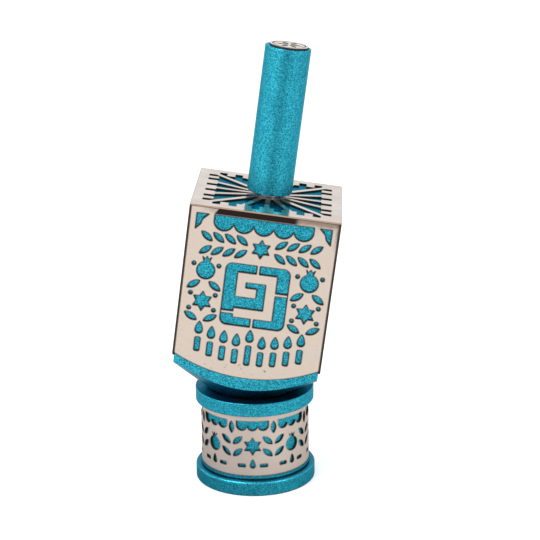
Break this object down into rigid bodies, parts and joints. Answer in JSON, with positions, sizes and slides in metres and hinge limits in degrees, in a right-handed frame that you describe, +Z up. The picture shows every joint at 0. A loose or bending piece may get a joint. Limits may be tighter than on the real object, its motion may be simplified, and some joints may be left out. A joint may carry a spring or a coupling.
{
  "type": "dreidel",
  "caption": "Square metal dreidel with pierced face plates and a round handle, leaning in the bored seat of a turned round stand.",
  "frame": {"origin": "centre of the stand's foot, on the surface it stands on", "axes": "+Z up; -Y is the front, with the pe plate; the dreidel leans towards +X"},
  "size_m": [0.047, 0.0408, 0.1256],
  "materials": {
    "stand_anodised": "bead-blasted, turquoise anodised",
    "block_anodised": "bead-blasted, turquoise anodised",
    "handle_anodised": "bead-blasted, turquoise anodised",
    "plate_sheet": "satin, warm silver",
    "top_sheet": "satin, warm silver",
    "band_sheet": "satin, warm silver",
    "cap_sheet": "satin, warm silver",
    "plain_steel": "turned steel"
  },
  "bodies": {
    "stand": {"stand_body": "stand_anodised", "stand_band": "band_sheet"},
    "tip": {"tip": "plain_steel"},
    "dreidel": {"block": "block_anodised", "pe_plate": "plate_sheet", "he_plate": "plate_sheet", "gimel_plate": "plate_sheet", "nun_plate": "plate_sheet", "top_plate": "top_sheet", "handle": "handle_anodised", "handle_stud": "plain_steel", "cap_disc": "cap_sheet"}
  },
  "joints": [
    {"name": "lift", "type": "slide", "parent": "stand", "child": "tip", "axis": [0.1368, 0, 0.9906], "range_m": [0, 0.04]},
    {"name": "spin", "type": "hinge", "parent": "tip", "child": "dreidel", "pos_m": [-0.00415, 0, 0.01937], "axis": [0.1368, 0, 0.9906], "continuous": true}
  ]
}
